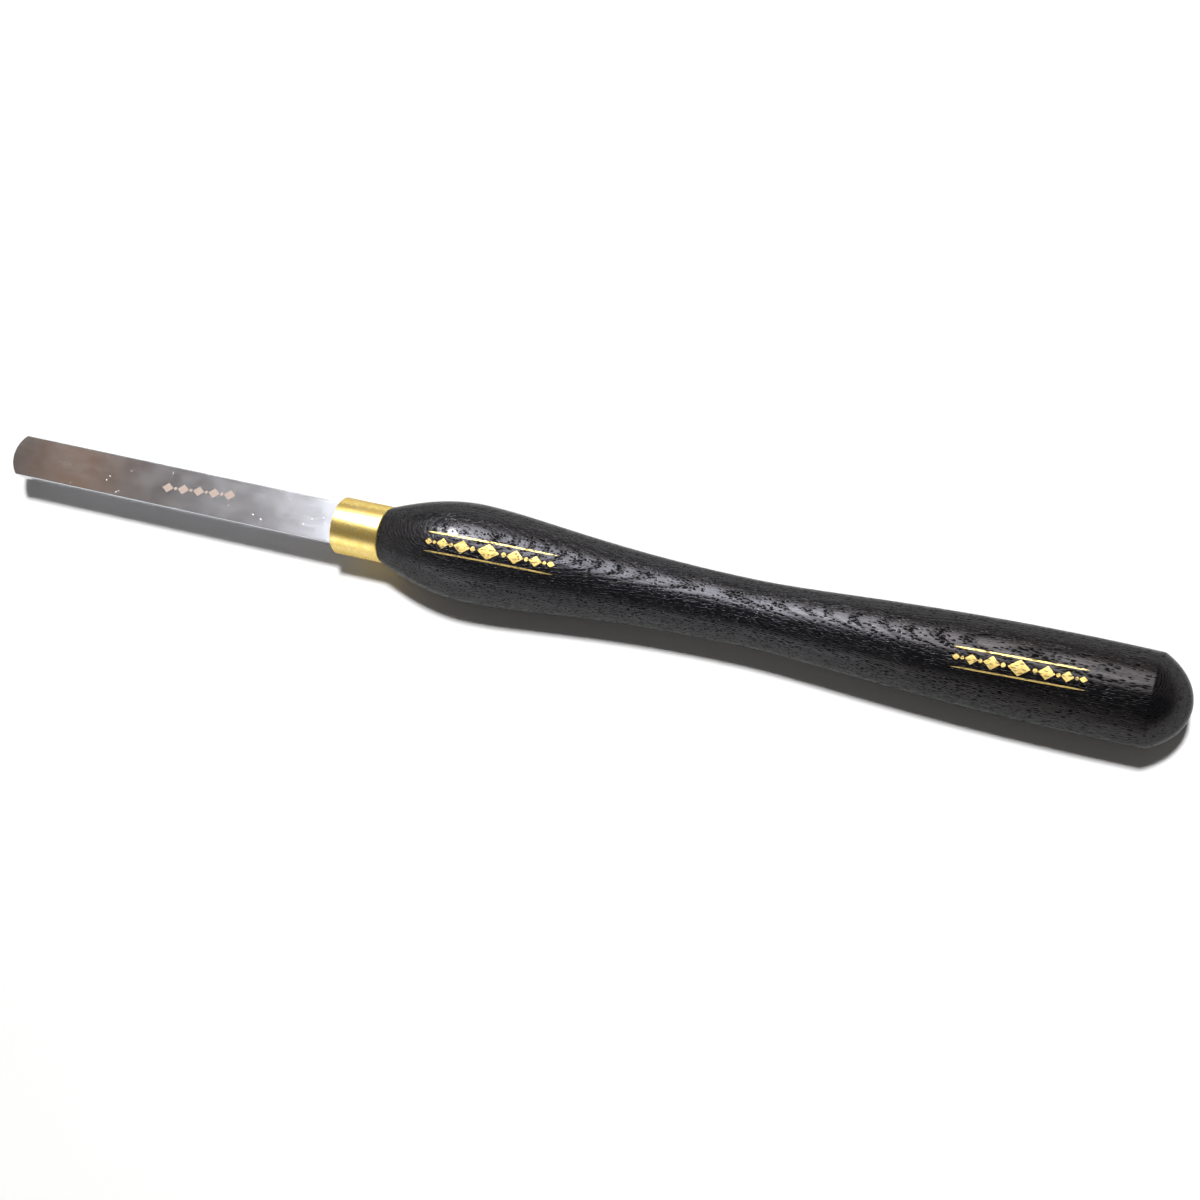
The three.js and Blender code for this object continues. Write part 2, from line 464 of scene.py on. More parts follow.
def brass_material():
    nodes = Material("ferrule_brass")
    place = nodes.place()
    cloud = nodes.noise(place, BRASS_CLOUD_SIZE, detail=3.0, roughness=0.6)
    speckle = nodes.noise(place, BRASS_SPECKLE_SIZE, detail=2.0)
    turning = nodes.noise(place, TURNING_MARK_SIZE, detail=2.0)
    rough = nodes.math("MULTIPLY_ADD", cloud, BRASS_CLOUD_ROUGHNESS, BRASS_ROUGHNESS)
    rough = nodes.math("MULTIPLY_ADD", speckle, BRASS_SPECKLE_ROUGHNESS, rough)
    marked = nodes.bump(turning, TURNING_MARK_DEPTH)
    nodes.set(Base_Color=nodes.blend(nodes.ease(cloud, *NOISE_SPREAD), BRASS, DEEP_BRASS),
              Metallic=BRASS_METALLIC, Roughness=rough, Specular_Tint=BRASS_EDGE_TINT,
              Normal=nodes.bump(cloud, BRASS_DENT_DEPTH, below=marked))
    return nodes.material


# Steel, ground lengthwise, with a few pale flecks
STEEL = (0.505, 0.515, 0.55)
PALE_STEEL = (0.60, 0.61, 0.645)
FLECK = (0.86, 0.86, 0.88)
GRINDING_SIZE = (14.0, 0.10, 0.10)
GRINDING_SPREAD = (0.3, 0.75)
GRINDING_DEPTH = 0.0010
STEEL_WAVE_SIZE = (45.0, 1.6, 1.6)
STEEL_WAVE_DEPTH = 0.003
STEEL_CLOUD_SIZE = (9.0, 7.0, 7.0)
FLECK_ROOM = (1.1, 1.1, 1.1)
FLECK_CHANCE = (0.90, 0.99)
FLECK_CROWD_SIZE = (12.0, 8.0, 8.0)
FLECK_CROWD_SPREAD = (0.50, 0.62)
FLECK_SHARE = 0.26
FLECK_RIM_SHARES = (-0.02, 0.04)
STEEL_ROUGHNESS = 0.07
STEEL_CLOUD_ROUGHNESS = 0.06
GRINDING_ROUGHNESS = 0.05
FLECK_ROUGHNESS = 0.55


def steel_flecks(nodes, place):
    """1 in the flecks, which lie in loose crowds, and 0 beside them."""
    distance, chance, _ = nodes.cells(nodes.stretched(place, FLECK_ROOM))
    crowd = nodes.noise(place, FLECK_CROWD_SIZE, detail=1.0)
    rare = nodes.math("MULTIPLY", nodes.ease(chance, *FLECK_CHANCE), nodes.ease(crowd, *FLECK_CROWD_SPREAD))
    inside = nodes.math("SUBTRACT", nodes.math("MULTIPLY", rare, FLECK_SHARE), distance)
    return nodes.ease(inside, *FLECK_RIM_SHARES)


def steel_material():
    nodes = Material("blade_steel")
    place = nodes.place()
    lines = nodes.noise(place, GRINDING_SIZE, detail=3.0, roughness=0.65)
    broad = nodes.noise(place, STEEL_WAVE_SIZE, detail=2.0)
    cloud = nodes.noise(place, STEEL_CLOUD_SIZE, detail=3.0)
    fleck = steel_flecks(nodes, place)
    bright = nodes.blend(nodes.ease(lines, *GRINDING_SPREAD), STEEL, PALE_STEEL)
    rough = nodes.math("MULTIPLY_ADD", cloud, STEEL_CLOUD_ROUGHNESS, STEEL_ROUGHNESS)
    rough = nodes.math("MULTIPLY_ADD", lines, GRINDING_ROUGHNESS, rough)
    rough = nodes.math("MULTIPLY_ADD", fleck, FLECK_ROUGHNESS, rough)
    ground = nodes.bump(lines, GRINDING_DEPTH)
    nodes.set(Base_Color=nodes.blend(fleck, bright, FLECK), Metallic=1.0, Roughness=rough,
              Normal=nodes.bump(broad, STEEL_WAVE_DEPTH, below=ground))
    return nodes.material


# Gold foil, broken up by the pores and a little worn
GOLD = (0.90, 0.68, 0.24)
DEEP_GOLD = (0.74, 0.52, 0.15)
BARE_FOIL = (0.10, 0.07, 0.03)
FOIL_CLOUD_SIZE = (1.6, 1.1, 1.1)
FOIL_WEAR_SIZE = (0.55, 0.3, 0.3)
FOIL_WEAR_SPREAD = (0.68, 0.74)
FOIL_PORE_SHARE = 0.75
FOIL_METALLIC = 0.72
FOIL_WEAR_METALLIC_LOSS = 0.6
FOIL_ROUGHNESS = 0.46
FOIL_PORE_DEPTH = 0.05


def foil_material():
    nodes = Material("gold_foil")
    grain = ring_places(nodes)
    inside = pore_depth(nodes, grain, early_wood(nodes, grain[2]))
    pore = nodes.ease(inside, *PORE_RIM_SHARES)
    cloud = nodes.noise(grain, FOIL_CLOUD_SIZE, detail=3.0)
    gap = nodes.noise(grain, FOIL_WEAR_SIZE, detail=2.0)
    gold = nodes.blend(nodes.ease(cloud, *NOISE_SPREAD), GOLD, DEEP_GOLD)
    in_pores = nodes.math("MULTIPLY", pore, FOIL_PORE_SHARE)
    worn = nodes.math("MAXIMUM", in_pores, nodes.ease(gap, *FOIL_WEAR_SPREAD))
    metal = nodes.math("MULTIPLY_ADD", worn, -FOIL_WEAR_METALLIC_LOSS, FOIL_METALLIC)
    nodes.set(Base_Color=nodes.blend(worn, gold, BARE_FOIL), Metallic=metal, Roughness=FOIL_ROUGHNESS,
              Normal=nodes.bump(nodes.math("MULTIPLY", pore, -1.0), FOIL_PORE_DEPTH))
    return nodes.material


# The etched mark, dull and brownish
ETCH = (0.58, 0.46, 0.40)
DARK_ETCH = (0.45, 0.355, 0.31)
ETCH_GRAIN_SIZE = (0.35, 0.35, 0.35)
ETCH_GRAIN_DEPTH = 0.012
ETCH_METALLIC = 0.1
ETCH_ROUGHNESS = 0.7


def etch_material():
    nodes = Material("etched_mark")
    grain = nodes.noise(nodes.place(), ETCH_GRAIN_SIZE, detail=3.0)
    colour = nodes.blend(nodes.ease(grain, *NOISE_SPREAD), ETCH, DARK_ETCH)
    nodes.set(Base_Color=colour, Metallic=ETCH_METALLIC, Roughness=ETCH_ROUGHNESS,
              Normal=nodes.bump(grain, ETCH_GRAIN_DEPTH))
    return nodes.material


# Handle

def bezier(start, first, second, end, steps):
    """Points after start on a cubic curve of (radius, distance) points."""
    points = []
    for step in range(1, steps + 1):
        t = step / steps
        weights = ((1 - t) ** 3, 3 * t * (1 - t) ** 2, 3 * t * t * (1 - t), t ** 3)
        corners = (start, first, second, end)
        points.append(tuple(sum(w * c[k] for w, c in zip(weights, corners)) for k in (0, 1)))
    return points


def sweep(start, end, start_share, end_share, steps, start_angle=0.0):
    """A stretch of the handle with its surface parallel to the axis at its end and, unless an angle is
    given, at its start."""
    length = end[1] - start[1]
    first = (start[0] + start_share * length * math.tan(start_angle), start[1] + start_share * length)
    second = (end[0], end[1] - end_share * length)
    return bezier(start, first, second, end, steps)


def body_curve():
    """From after the shoulder to the tail's widest place."""
    shoulder = (FERRULE_RADIUS, 0.0)
    points = sweep(shoulder, BULGE, FRONT_RISE_SHARE, BULGE_FRONT_SHARE, FRONT_STEPS, FRONT_RISE)
    points += sweep(BULGE, WAIST, BULGE_BACK_SHARE, WAIST_FRONT_SHARE, BODY_STEPS)
    points += sweep(WAIST, TAIL, WAIST_BACK_SHARE, TAIL_FRONT_SHARE, BODY_STEPS)
    return points


def tail_curve():
    """From after the tail's widest place to the arris, as a quadratic curve written as a cubic one."""
    lift = (TAIL[0], TAIL[1] + TAIL_BACK_SHARE * (ARRIS[1] - TAIL[1]))
    first, second = (tuple(a + (b - a) * 2 / 3 for a, b in zip(end, lift)) for end in (TAIL, ARRIS))
    return bezier(TAIL, first, second, ARRIS, TAIL_STEPS)


def dome_curve():
    """From after the arris to the pole."""
    rim = (ARRIS[0] * (1 - DOME_RIM_DROP_SHARE), ARRIS[1] + DOME_LENGTH * DOME_RIM_ALONG_SHARE)
    crown = (ARRIS[0] * DOME_POLE_SHARE, HANDLE_LENGTH)
    return bezier(ARRIS, rim, crown, (0.0, HANDLE_LENGTH), DOME_STEPS)


def beside(corner, towards):
    """The point ARRIS_ROUND away from a corner."""
    away = (towards[0] - corner[0], towards[1] - corner[1])
    share = ARRIS_ROUND / math.hypot(*away)
    return (corner[0] + away[0] * share, corner[1] + away[1] * share)


def handle_curve():
    """The turned outside as (radius, distance from the shoulder) points, with its arris rounded."""
    tail, dome = tail_curve(), dome_curve()
    before, after = beside(ARRIS, tail[-2]), beside(ARRIS, dome[0])
    arris = [before] + bezier(before, ARRIS, ARRIS, after, ARRIS_STEPS)
    return [(FERRULE_RADIUS, 0.0)] + body_curve() + tail[:-1] + arris + dome[1:]


handle_points = handle_curve()
handle_distances = [point[1] for point in handle_points]


def handle_radius(x):
    """The wood's radius at a place along the tool."""
    distance = x - HANDLE_START
    after = min(max(bisect.bisect(handle_distances, distance), 1), len(handle_points) - 1)
    (r0, d0), (r1, d1) = handle_points[after - 1], handle_points[after]
    return r0 + (r1 - r0) * (distance - d0) / (d1 - d0) - FOIL_ROOM


def ring_of(radius, x):
    turns = [2 * math.pi * k / ROUND_STEPS for k in range(ROUND_STEPS)]
    return [(x, radius * math.sin(turn), radius * math.cos(turn)) for turn in turns]


def slot_ring(half_width, half_thickness, x):
    """Points round a rectangle, each at the same angle as its point on a circle, with exact corners."""
    tiny = 1e-9
    ring = []
    for _, across, up in ring_of(1.0, x):
        reach = min(half_width / max(abs(across), tiny), half_thickness / max(abs(up), tiny))
        ring.append((x, across * reach, up * reach))
    for y in (-half_width, half_width):
        for z in (-half_thickness, half_thickness):
            nearest = min(range(len(ring)), key=lambda k: (ring[k][1] - y) ** 2 + (ring[k][2] - z) ** 2)
            ring[nearest] = (x, y, z)
    return ring


def skin(rings, joined=False):
    """Vertices and faces of a closed body through rings of equally many points. Its two ends are
    capped or, where it is joined, the last ring meets the first."""
    count = len(rings[0])
    vertices = [point for ring in rings for point in ring]
    faces = []
    for row in range(len(rings) if joined else len(rings) - 1):
        here, there = row * count, (row + 1) % len(rings) * count
        for k in range(count):
            after = (k + 1) % count
            faces.append((here + k, here + after, there + after, there + k))
    if not joined:
        faces.append(tuple(range(count - 1, -1, -1)))
        faces.append(tuple(range(len(vertices) - count, len(vertices))))
    return vertices, faces


def mortise_rings():
    """The space for the tang, from its bottom to its mouth."""
    half_width = TANG_WIDTH / 2 + SEAT_GAP
    half_thickness = TANG_THICKNESS / 2 + SEAT_GAP
    bottom = TANG_END + MORTISE_SPARE
    return [
        slot_ring(TANG_POINT_WIDTH / 2 + SEAT_GAP, half_thickness, bottom),
        slot_ring(half_width, half_thickness, bottom - TANG_POINT_LENGTH),
        slot_ring(half_width, half_thickness, TENON_FRONT),
    ]


def make_handle(material):
    tenon_radius = FERRULE_RADIUS - FERRULE_WALL - SEAT_GAP
    rings = mortise_rings()
    rings.append(ring_of(tenon_radius, TENON_FRONT))
    rings.append(ring_of(tenon_radius, HANDLE_START))
    rings.append(ring_of(FERRULE_RADIUS - FOIL_ROOM - FRONT_EASE[0], HANDLE_START))
    for radius, distance in handle_points[:-1]:
        place = HANDLE_START + max(distance, FRONT_EASE[1])
        rings.append(ring_of(max(radius - FOIL_ROOM, POLE_RADIUS), place))
    rings.append(ring_of(POLE_RADIUS, HANDLE_START + HANDLE_LENGTH))
    vertices, faces = skin(rings)
    piece = new_piece("turned_handle", vertices, faces, material, HANDLE_EDGE_ANGLE)
    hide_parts("handle")


# Ferrule

def quarter(centre_radius, centre_x, radius, start):
    """A quarter round as (radius, x) points, with angles from the radial direction towards +X."""
    points = []
    for step in range(RIM_STEPS + 1):
        angle = start + math.pi / 2 * step / RIM_STEPS
        points.append((centre_radius + radius * math.cos(angle), centre_x + radius * math.sin(angle)))
    return points


def make_ferrule(material):
    inner = FERRULE_RADIUS - FERRULE_WALL
    rim, soft = FERRULE_RIM, FERRULE_INNER_RIM
    outline = quarter(FERRULE_RADIUS - rim, FERRULE_FRONT + rim, rim, -math.pi / 2)
    outline += quarter(FERRULE_RADIUS - rim, FERRULE_BACK - rim, rim, 0)
    outline += quarter(inner + soft, FERRULE_BACK - soft, soft, math.pi / 2)
    outline += quarter(inner + soft, FERRULE_FRONT + soft, soft, math.pi)
    vertices, faces = skin([ring_of(radius, x) for radius, x in outline], joined=True)
    piece = new_piece("brass_ferrule", vertices, faces, material)
    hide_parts("ferrule")


# Blade

class Body:
    """The points and faces of one closed body."""

    def __init__(self):
        self.points = []
        self.faces = []

    def add(self, x, y, z):
        self.points.append((x, y, z))
        return len(self.points) - 1


def side_points():
    """The bar's right side with its rounded edges, as (y, z) points from the upper face down."""
    centre_y, centre_z = BLADE_WIDTH / 2 - EDGE_ROUND, BLADE_THICKNESS / 2 - EDGE_ROUND
    points = []
    for side, start in ((1, 90), (-1, 0)):
        for step in range(EDGE_STEPS + 1):
            angle = math.radians(start - 90 * step / EDGE_STEPS)
            points.append((centre_y + EDGE_ROUND * math.cos(angle),
                           side * centre_z + EDGE_ROUND * math.sin(angle)))
    return points


def nose_x(y, z):
    """Where the ground nose ends, at a point of the bar's section."""
    half_width = BLADE_WIDTH / 2
    radius = (half_width ** 2 + NOSE_BOW ** 2) / (2 * NOSE_BOW)
    centre = NOSE_TIP + radius
    ground = radius - (BLADE_THICKNESS / 2 - z) * math.tan(NOSE_RELIEF)
    return centre - math.sqrt(ground ** 2 - y ** 2)


def nose_rows():
    """Rows of (y, z) points over the nose's ground face, from the upper face to the underside. Each
    has a point in line with each side of the tang, where the bar's flat faces are divided."""
    half_tang = TANG_WIDTH / 2
    angles = [math.pi / 2 * k / NOSE_STEPS for k in range(1 - NOSE_STEPS, NOSE_STEPS)]
    rows = []
    for half_width, z in side_points():
        inner = {round(half_width * math.sin(angle), 6) for angle in angles}
        inner = sorted(inner | {-half_tang, half_tang})
        rows.append([(-half_width, z), *((y, z) for y in inner), (half_width, z)])
    return rows


def add_nose(body, rows):
    """The ground face. Returns its rows of points."""
    nose = [[body.add(nose_x(y, z), y, z) for y, z in row] for row in rows]
    for upper, lower in zip(nose, nose[1:]):
        for k in range(len(upper) - 1):
            body.faces.append((upper[k], upper[k + 1], lower[k + 1], lower[k]))
    return nose


def add_sides(body, rows, nose, shoulder):
    """The narrow sides. Returns their points at the shoulder."""
    left = [body.add(shoulder, *row[0]) for row in rows]
    right = [body.add(shoulder, *row[-1]) for row in rows]
    for side, edge, turn in ((left, 0, 1), (right, -1, -1)):
        for k in range(len(rows) - 1):
            face = (nose[k][edge], nose[k + 1][edge], side[k + 1], side[k])
            body.faces.append(face[::turn])
    return left, right


def add_flats(body, rows, nose, left, right, shoulder):
    """The upper face and the underside, each in three strips. The middle one is as wide as the tang.
    Returns its corners at the shoulder."""
    sides = (-TANG_WIDTH / 2, TANG_WIDTH / 2)
    top = [body.add(shoulder, y, BLADE_THICKNESS / 2) for y in sides]
    low = [body.add(shoulder, y, -BLADE_THICKNESS / 2) for y in sides]
    places = [point[0] for point in rows[0]]
    cuts = [0, *(places.index(y) for y in sides), len(places) - 1]
    for row, behind, turn in ((0, top, -1), (-1, low, 1)):
        corners = (left[row], *behind, right[row])
        for k in range(3):
            face = [*nose[row][cuts[k]:cuts[k + 1] + 1], corners[k + 1], corners[k]]
            body.faces.append(tuple(face[::turn]))
    return top, low


def tang_corners(half_width):
    half_thickness = TANG_THICKNESS / 2
    return [(-half_width, half_thickness), (half_width, half_thickness),
            (half_width, -half_thickness), (-half_width, -half_thickness)]


def add_tang(body, shoulder):
    """The tang's sides and its blunt point. Returns its corners at the shoulder."""
    taper = TANG_END - TANG_POINT_LENGTH
    sections = ((shoulder, TANG_WIDTH), (taper, TANG_WIDTH), (TANG_END, TANG_POINT_WIDTH))
    rings = [[body.add(x, y, z) for y, z in tang_corners(width / 2)] for x, width in sections]
    for ring, following in zip(rings, rings[1:]):
        for k in range(4):
            after = (k + 1) % 4
            body.faces.append((ring[k], ring[after], following[after], following[k]))
    body.faces.append(tuple(rings[-1]))
    return rings[0]


def add_shoulders(body, left, right, top, low, root):
    """The bar's end, round the tang."""
    body.faces.append((top[0], top[1], root[1], root[0]))
    body.faces.append((root[3], root[2], low[1], low[0]))
    body.faces.append((top[1], *right, low[1], root[2], root[1]))
    body.faces.append((root[0], root[3], low[0], *reversed(left), top[0]))


def make_blade(material):
    shoulder = NOSE_TIP + BLADE_REACH
    rows = nose_rows()
    body = Body()
    nose = add_nose(body, rows)
    left, right = add_sides(body, rows, nose, shoulder)
    top, low = add_flats(body, rows, nose, left, right, shoulder)
    add_shoulders(body, left, right, top, low, add_tang(body, shoulder))
    piece = new_piece("ground_blade", body.points, body.faces, material, BLADE_EDGE_ANGLE)
    fix_normals(piece)
    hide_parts("blade")


# Foil and etched ornament: a plain row of lozenges and dots, between rules on the handle

# An outline's two powers set how its height falls from its middle to its ends
LOZENGE = (1.001, 1.0)
SOFT_LOZENGE = (1.301, 1.0)
DOT = (1.501, 0.5)

# Shapes of a row from its middle out, as (place, half length, half height, outline). Places and lengths
# are shares of the row's half length, and heights of its half height.
FOIL_ROW_SHARES = (
    (0.0, 0.17, 1.0, LOZENGE),
    (0.235, 0.036, 0.30, DOT),
    (0.405, 0.128, 0.84, LOZENGE),
    (0.575, 0.032, 0.26, DOT),
    (0.71, 0.098, 0.66, LOZENGE),
    (0.845, 0.027, 0.22, DOT),
    (0.94, 0.06, 0.36, SOFT_LOZENGE),
)
ETCH_ROW_SHARES = (
    (0.0, 0.15, 1.0, LOZENGE),
    (0.205, 0.04, 0.36, DOT),
    (0.41, 0.15, 1.0, LOZENGE),
    (0.615, 0.04, 0.36, DOT),
    (0.82, 0.15, 1.0, LOZENGE),
)

# Grids of the shapes and rules. A shape stops just short of its tips, and a rule tapers to its ends.
SHAPE_GRID = (20, 6)
SHAPE_REACH_SHARE = 0.995
RULE_GRID = (60, 2)
RULE_TAPER_POWER = 10
RULE_END_SHARE = 0.05

# The foil starts FOIL_GAP above the wood. ROW_MARGIN is the room for a rule and a gap beside the row.
FOIL_GAP = 0.004
FOIL_THICKNESS = 0.035
RULE_HALF_HEIGHT = 0.35
ROW_MARGIN = 1.05

# The etched mark starts this far under the blade's upper face
ETCH_DEPTH = 0.004
ETCH_THICKNESS = 0.02


def grid_body(top, base, columns, rows):
    """Vertices and faces of a thin closed body between two grids of points."""
    width = rows + 1
    size = len(top)
    faces = []
    for i in range(columns):
        for j in range(rows):
            a, b = i * width + j, (i + 1) * width + j
            faces.append((a, b, b + 1, a + 1))
            faces.append((size + a, size + a + 1, size + b + 1, size + b))
    rim = [i * width for i in range(columns + 1)]
    rim += [columns * width + j for j in range(1, width)]
    rim += [i * width + rows for i in range(columns - 1, -1, -1)]
    rim += list(range(rows - 1, 0, -1))
    for k, a in enumerate(rim):
        b = rim[(k + 1) % len(rim)]
        faces.append((a, size + a, size + b, b))
    return top + base, faces


def patch(grid, place_along, half_height_at, middle_height, thickness, mapped):
    """A thin closed body laid on a surface by mapped. place_along gives the place of each column in
    the row, and half_height_at half its height."""
    columns, rows = grid
    top, base = [], []
    for i in range(columns + 1):
        u, half = place_along(i / columns), half_height_at(i / columns)
        for j in range(rows + 1):
            v = middle_height + half * (2 * j / rows - 1)
            top.append(mapped(u, v, thickness))
            base.append(mapped(u, v, 0.0))
    return grid_body(top, base, columns, rows)


def shape_patch(centre, half_length, half_height, outline, thickness, mapped):
    """A lozenge or a dot in the middle of the row."""
    exponent, root = outline

    def across(share):
        return -math.cos(math.pi * share) * SHAPE_REACH_SHARE

    def place_along(share):
        return centre + half_length * across(share)

    def half_height_at(share):
        return half_height * max(1 - abs(across(share)) ** exponent, 0.0) ** root

    return patch(SHAPE_GRID, place_along, half_height_at, 0.0, thickness, mapped)


def rule_patch(half_length, height, thickness, mapped):
    """A thin rule with tapered ends, at a height above or below the middle of the row."""

    def place_along(share):
        return half_length * (2 * share - 1)

    def half_height_at(share):
        return RULE_HALF_HEIGHT * max(1 - abs(2 * share - 1) ** RULE_TAPER_POWER, RULE_END_SHARE)

    return patch(RULE_GRID, place_along, half_height_at, height, thickness, mapped)


def row_patches(shares, half_length, half_height, thickness, mapped):
    """The shapes of a row, the same on both sides of its middle."""
    patches = []
    for place, length, height, outline in shares:
        sides = (-1, 1) if place else (1,)
        for side in sides:
            patches.append(shape_patch(side * place * half_length, length * half_length,
                                       height * half_height, outline, thickness, mapped))
    return patches


def gathered(bodies):
    vertices, faces = [], []
    for points, polygons in bodies:
        offset = len(vertices)
        vertices += points
        faces += [tuple(offset + k for k in polygon) for polygon in polygons]
    return vertices, faces


def make_foil(name, start, end, start_angle, end_angle, height, material):
    """Foil on the handle from start to end. The angles are in degrees from the top, towards -Y."""
    middle, half_length = (start + end) / 2, (end - start) / 2

    def mapped(u, v, lift):
        x = middle + u
        radius = handle_radius(x)
        share = (x - start) / (end - start)
        angle = math.radians(start_angle + (end_angle - start_angle) * share) - v / radius
        r = radius + FOIL_GAP + lift
        return (x, -r * math.sin(angle), r * math.cos(angle))

    bodies = row_patches(FOIL_ROW_SHARES, half_length, height / 2 - ROW_MARGIN, FOIL_THICKNESS, mapped)
    for side in (-1, 1):
        rule_height = side * (height / 2 - RULE_HALF_HEIGHT)
        bodies.append(rule_patch(half_length, rule_height, FOIL_THICKNESS, mapped))
    vertices, faces = gathered(bodies)
    fix_normals(new_piece(name, vertices, faces, material))


def make_etch(start, end, start_y, end_y, height, material):
    """The etched mark on the blade's upper face, along a line that may lie askew."""
    middle, half_length = (start + end) / 2, (end - start) / 2

    def mapped(u, v, lift):
        x = middle + u
        y = start_y + (end_y - start_y) * (x - start) / (end - start) + v
        return (x, y, BLADE_THICKNESS / 2 - ETCH_DEPTH + lift)

    vertices, faces = gathered(row_patches(ETCH_ROW_SHARES, half_length, height / 2, ETCH_THICKNESS, mapped))
    fix_normals(new_piece("etched_ornament", vertices, faces, material))


# Floor
FLOOR_LEVEL = -21.95
FLOOR_REACH = 6000.0
FLOOR_COLOUR = (0.985, 0.985, 0.985, 1.0)
FLOOR_ROUGHNESS = 0.9
FLOOR_SHINE = 0.1

# The floor's own glow comes in between these distances from the origin
FLOOR_GLOW_FADE = (420.0, 1000.0)


def floor_material():
    nodes = Material("pale_floor")
    x, y, _ = nodes.place()
    away = nodes.math("SQRT", nodes.math("ADD", nodes.math("MULTIPLY", x, x), nodes.math("MULTIPLY", y, y)))
    seen = nodes.node("ShaderNodeLightPath").outputs["Is Camera Ray"]
    glow = nodes.math("MULTIPLY", nodes.ease(away, *FLOOR_GLOW_FADE), seen)
    nodes.set(Base_Color=FLOOR_COLOUR, Roughness=FLOOR_ROUGHNESS, Specular_IOR_Level=FLOOR_SHINE,
              Emission_Color=(*WHITE, 1.0), Emission_Strength=glow)
    return nodes.material


def make_floor():
    """A floor that takes the tool's shadow. Away from the tool the camera sees it plain white."""
    mesh = bpy.data.meshes.new("floor")
    corners = [(-1, -1), (1, -1), (1, 1), (-1, 1)]
    points = [place_of((x * FLOOR_REACH, y * FLOOR_REACH, FLOOR_LEVEL)) for x, y in corners]
    mesh.from_pydata(points, [], [(0, 1, 2, 3)])
    mesh.materials.append(floor_material())
    floor = bpy.data.objects.new("floor", mesh)
    bpy.context.scene.collection.objects.link(floor)


# World: its parts, by the X, Y and Z of the direction towards them. A fade is where a part comes in or
# goes out, and a level is how bright it is in a mirror.
HORIZON_FADE = (0.0, 0.05)
NEAR_SIDE_DROP = 0.67
NEAR_SIDE_FADE = (0.30, 0.84)
NEAR_SIDE_LEVEL = 2.2
NEAR_SIDE_NOSE_FADE = (-0.45, 0.0)
NEAR_SIDE_TAIL_SHARE = 0.12
NOSE_FADE = (-0.80, -0.66)
NOSE_LEVEL = 0.45
FAR_SIDE_FADE = (0.02, 0.12)
FAR_SIDE_NOSE_FADE = (-0.50, -0.43)
FAR_SIDE_LEVEL = 0.36
DARK_LEVEL = 0.05
DARK_TINT = (1.0, 0.86, 0.76)
EVEN_LIGHT = 0.10
EVEN_LIGHT_TINT = (1.0, 0.95, 0.92)


def mirrored_brightness(nodes):
    """How bright each part of the world is in a mirror, before DARK_LEVEL is added to it."""
    x, y, z = nodes.split(nodes.node("ShaderNodeTexCoord").outputs["Generated"])
    horizon = nodes.ease(z, *HORIZON_FADE, 1.0, 0.0)
    near = nodes.math("ADD", nodes.math("MULTIPLY", y, -1.0), nodes.math("MULTIPLY", z, -NEAR_SIDE_DROP))
    near_side = nodes.math("MULTIPLY", nodes.ease(near, *NEAR_SIDE_FADE, 0.0, NEAR_SIDE_LEVEL),
                           nodes.ease(x, *NEAR_SIDE_NOSE_FADE, 1.0, NEAR_SIDE_TAIL_SHARE))
    nose = nodes.ease(x, *NOSE_FADE, NOSE_LEVEL, 0.0)
    far_side = nodes.math("MULTIPLY", nodes.ease(x, *FAR_SIDE_NOSE_FADE, 0.0, FAR_SIDE_LEVEL),
                          nodes.ease(y, *FAR_SIDE_FADE))
    brightest = horizon
    for part in (near_side, nose, far_side):
        brightest = nodes.math("MAXIMUM", brightest, part)
    return brightest


def make_world():
    """What metal and lacquer mirror: a white horizon, a pale side towards -Y, weaker patches towards
    the nose and +Y, and a dim warm sky between them. The camera sees plain white, and the light that
    falls on everything from here is dim, even and a little warm."""
    world = bpy.data.worlds.new("studio")
    bpy.context.scene.world = world
    world.use_nodes = True
    nodes = Nodes(world.node_tree)
    bright = mirrored_brightness(nodes)
    path = nodes.node("ShaderNodeLightPath").outputs
    mirrored = nodes.math("MAXIMUM", path["Is Glossy Ray"], path["Is Transmission Ray"])
    glow = nodes.math("MULTIPLY", mirrored, nodes.math("ADD", bright, DARK_LEVEL))
    level = nodes.math("MAXIMUM", glow, path["Is Camera Ray"])
    white = nodes.math("MULTIPLY_ADD", mirrored, nodes.math("SUBTRACT", bright, 1.0), 1.0)
    tint = nodes.blend(white, DARK_TINT, WHITE)
    tint = nodes.blend(path["Is Diffuse Ray"], tint, EVEN_LIGHT_TINT)
    back = nodes.tree.nodes["Background"]
    nodes.feed(back.inputs["Color"], tint)
    nodes.feed(back.inputs["Strength"], nodes.math("MAXIMUM", level, EVEN_LIGHT))


# Lamps. Their distance from the tool is in metres.
LAMP_DISTANCE = 3.3
SKY_COLOUR = (0.93, 0.95, 1.0)
WARM_COLOUR = (1.0, 0.84, 0.72)
NOSE_COLOUR = (1.0, 0.44, 0.12)


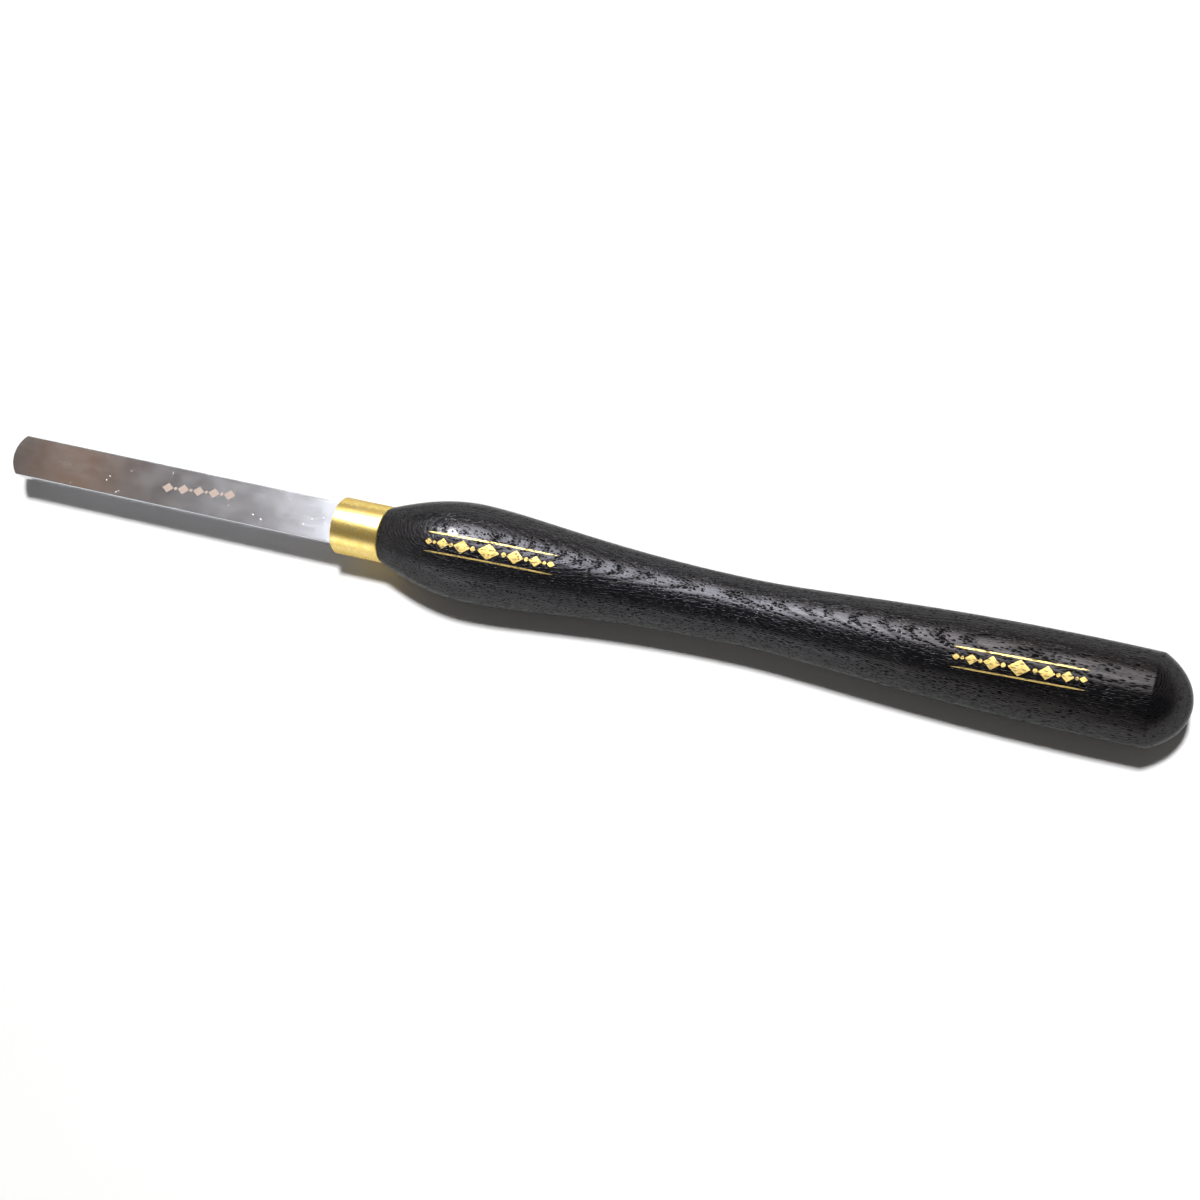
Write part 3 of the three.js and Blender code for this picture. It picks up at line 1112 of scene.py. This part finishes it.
def make_lamp(name, along, tilt, width, height, radiance, colour=WHITE):
    """A soft rectangular lamp that faces the tool. along is the X part of its direction, tilt the angle
    from the zenith towards +Y, width and height its angles as seen from the tool, all in degrees but
    along. A radiance of 1 shows as white in a mirror."""
    data = bpy.data.lights.new(name, "AREA")
    data.shape = "RECTANGLE"
    data.size = 2 * LAMP_DISTANCE * math.tan(math.radians(width) / 2)
    data.size_y = 2 * LAMP_DISTANCE * math.tan(math.radians(height) / 2)
    data.energy = math.pi * radiance * data.size * data.size_y
    data.color = colour
    lamp = bpy.data.objects.new(name, data)
    rest = math.sqrt(1 - along ** 2)
    towards = Vector((along, rest * math.sin(math.radians(tilt)), rest * math.cos(math.radians(tilt))))
    side = (Vector((1, 0, 0)) - towards * towards.x).normalized()
    turn = Matrix((side, towards.cross(side), towards)).transposed().to_4x4()
    lamp.matrix_world = Matrix.Translation(towards * LAMP_DISTANCE) @ turn
    bpy.context.scene.collection.objects.link(lamp)
    return lamp


def make_lamps():
    """The key gives the light and the shadow, and isn't mirrored. The others light only what mirrors
    them."""
    key = make_lamp("key", along=0.15, tilt=12.0, width=5.5, height=5.5, radiance=358.0)
    key.visible_glossy = False
    reflected = (
        make_lamp("sky_panel", along=-0.212, tilt=28.5, width=28.5, height=43.0, radiance=6.5,
                  colour=SKY_COLOUR),
        make_lamp("window", along=-0.485, tilt=28.5, width=11.0, height=12.0, radiance=60.0),
        make_lamp("warm_card", along=-0.15, tilt=57.0, width=50.0, height=14.0, radiance=0.70,
                  colour=WARM_COLOUR),
        make_lamp("nose_card", along=-0.574, tilt=9.3, width=1.5, height=24.0, radiance=0.46,
                  colour=NOSE_COLOUR),
    )
    for lamp in reflected:
        lamp.visible_diffuse = False


# Camera, fitted to the photograph: its place, and its own directions in the tool's frame
LENS = 70.95
SENSOR_WIDTH = 36.0
PHOTO_WIDTH = 1200
CAMERA_PLACE = (345.65, -188.12, 940.81)
CAMERA_RIGHT = (0.92595, 0.26829, -0.26578)
CAMERA_UP = (-0.20248, 0.94676, 0.25027)
CAMERA_AHEAD = (-0.31877, 0.17793, -0.93098)


def make_camera():
    """The photograph's view, moved by half a pixel each way."""
    data = bpy.data.cameras.new("view")
    data.lens = LENS
    data.sensor_width = SENSOR_WIDTH
    data.shift_x = -0.5 / PHOTO_WIDTH
    data.shift_y = 0.5 / PHOTO_WIDTH
    camera = bpy.data.objects.new("view", data)
    turn = Matrix((Vector(CAMERA_RIGHT), Vector(CAMERA_UP), -Vector(CAMERA_AHEAD))).transposed().to_4x4()
    camera.matrix_world = Matrix.Translation(place_of(CAMERA_PLACE)) @ turn
    bpy.context.scene.collection.objects.link(camera)
    bpy.context.scene.camera = camera


foil = foil_material()
make_handle(ash_material())
make_ferrule(brass_material())
make_blade(steel_material())
make_foil("foil_front", start=-53.7, end=5.8, start_angle=8.2, end_angle=3.7, height=9.2, material=foil)
make_foil("foil_rear", start=179.0, end=233.4, start_angle=10.0, end_angle=5.0, height=8.9, material=foil)
make_etch(start=-194.0, end=-156.0, start_y=-0.9, end_y=2.3, height=4.6, material=etch_material())
make_camera()
make_floor()
make_world()
make_lamps()
bpy.context.scene.view_settings.view_transform = "Standard"
